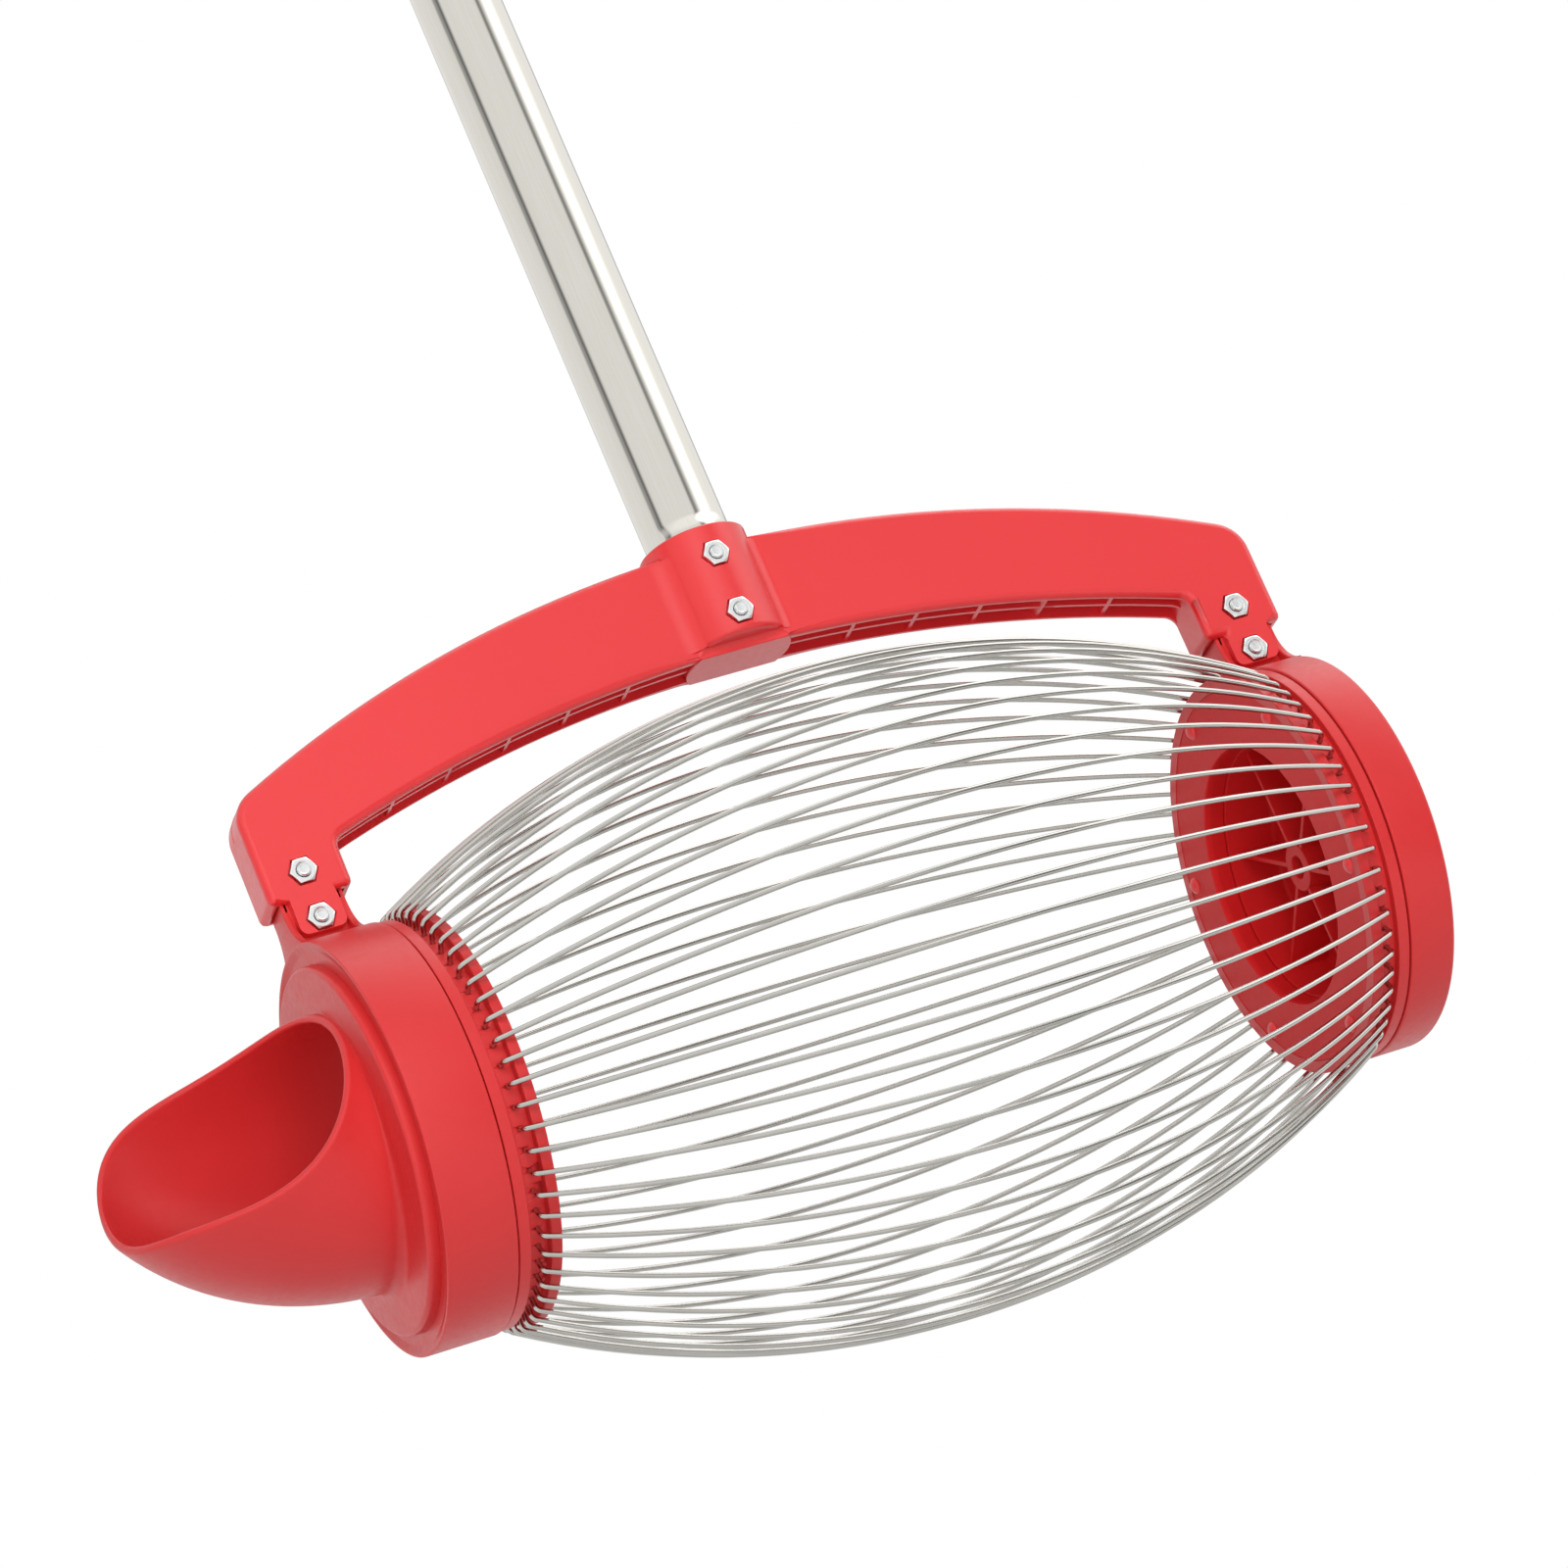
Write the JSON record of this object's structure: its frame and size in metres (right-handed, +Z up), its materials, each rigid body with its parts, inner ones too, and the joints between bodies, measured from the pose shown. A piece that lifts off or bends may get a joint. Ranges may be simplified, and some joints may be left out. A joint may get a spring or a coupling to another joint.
{
  "type": "nut gatherer",
  "caption": "Rolling nut gatherer: a barrel-shaped wire cage spins between end caps under an arched yoke on a long tube handle, with a side spout to pour out the catch.",
  "frame": {"origin": "middle of the hand grip, on the axis of the tube handle", "axes": "+Z runs up the handle to its end, +X runs along the drum axis away from the spout, and -Y is the front, where the nuts of the bolts show"},
  "size_m": [0.4943, 0.239, 1.0515],
  "materials": {
    "red_plastic": "moulded, semi-gloss",
    "zinc_steel": "zinc plated",
    "polished_steel": "polished",
    "wire_steel": "drawn wire",
    "grip_rubber": "matt",
    "black_plastic": "matt"
  },
  "bodies": {
    "frame": {"yoke": "red_plastic", "left_end_cap": "red_plastic", "spout": "red_plastic", "right_end_cap": "red_plastic", "left_bearing_sleeve": "red_plastic", "right_bearing_dish": "red_plastic", "leg_bolts": "zinc_steel", "leg_nuts": "zinc_steel", "socket_bolts": "zinc_steel", "socket_nuts": "zinc_steel", "joiner_pins": "zinc_steel", "lower_tube": "polished_steel", "tube_joiner": "polished_steel", "upper_tube": "polished_steel", "hand_grip": "grip_rubber", "handle_plug": "black_plastic"},
    "cage": {"left_ring": "red_plastic", "right_ring": "red_plastic", "left_web": "red_plastic", "right_web": "red_plastic", "left_web_rivets": "red_plastic", "right_web_rivets": "red_plastic", "wire_bank_1": "wire_steel", "wire_bank_2": "wire_steel", "wire_bank_3": "wire_steel", "wire_bank_4": "wire_steel", "wire_bank_5": "wire_steel", "wire_bank_6": "wire_steel", "wire_bank_7": "wire_steel", "wire_bank_8": "wire_steel", "wire_bank_9": "wire_steel", "wire_bank_10": "wire_steel"}
  },
  "joints": [
    {"name": "cage_spin", "type": "hinge", "parent": "frame", "child": "cage", "pos_m": [0, 0, -0.8645], "axis": [1, 0, 0], "continuous": true}
  ]
}
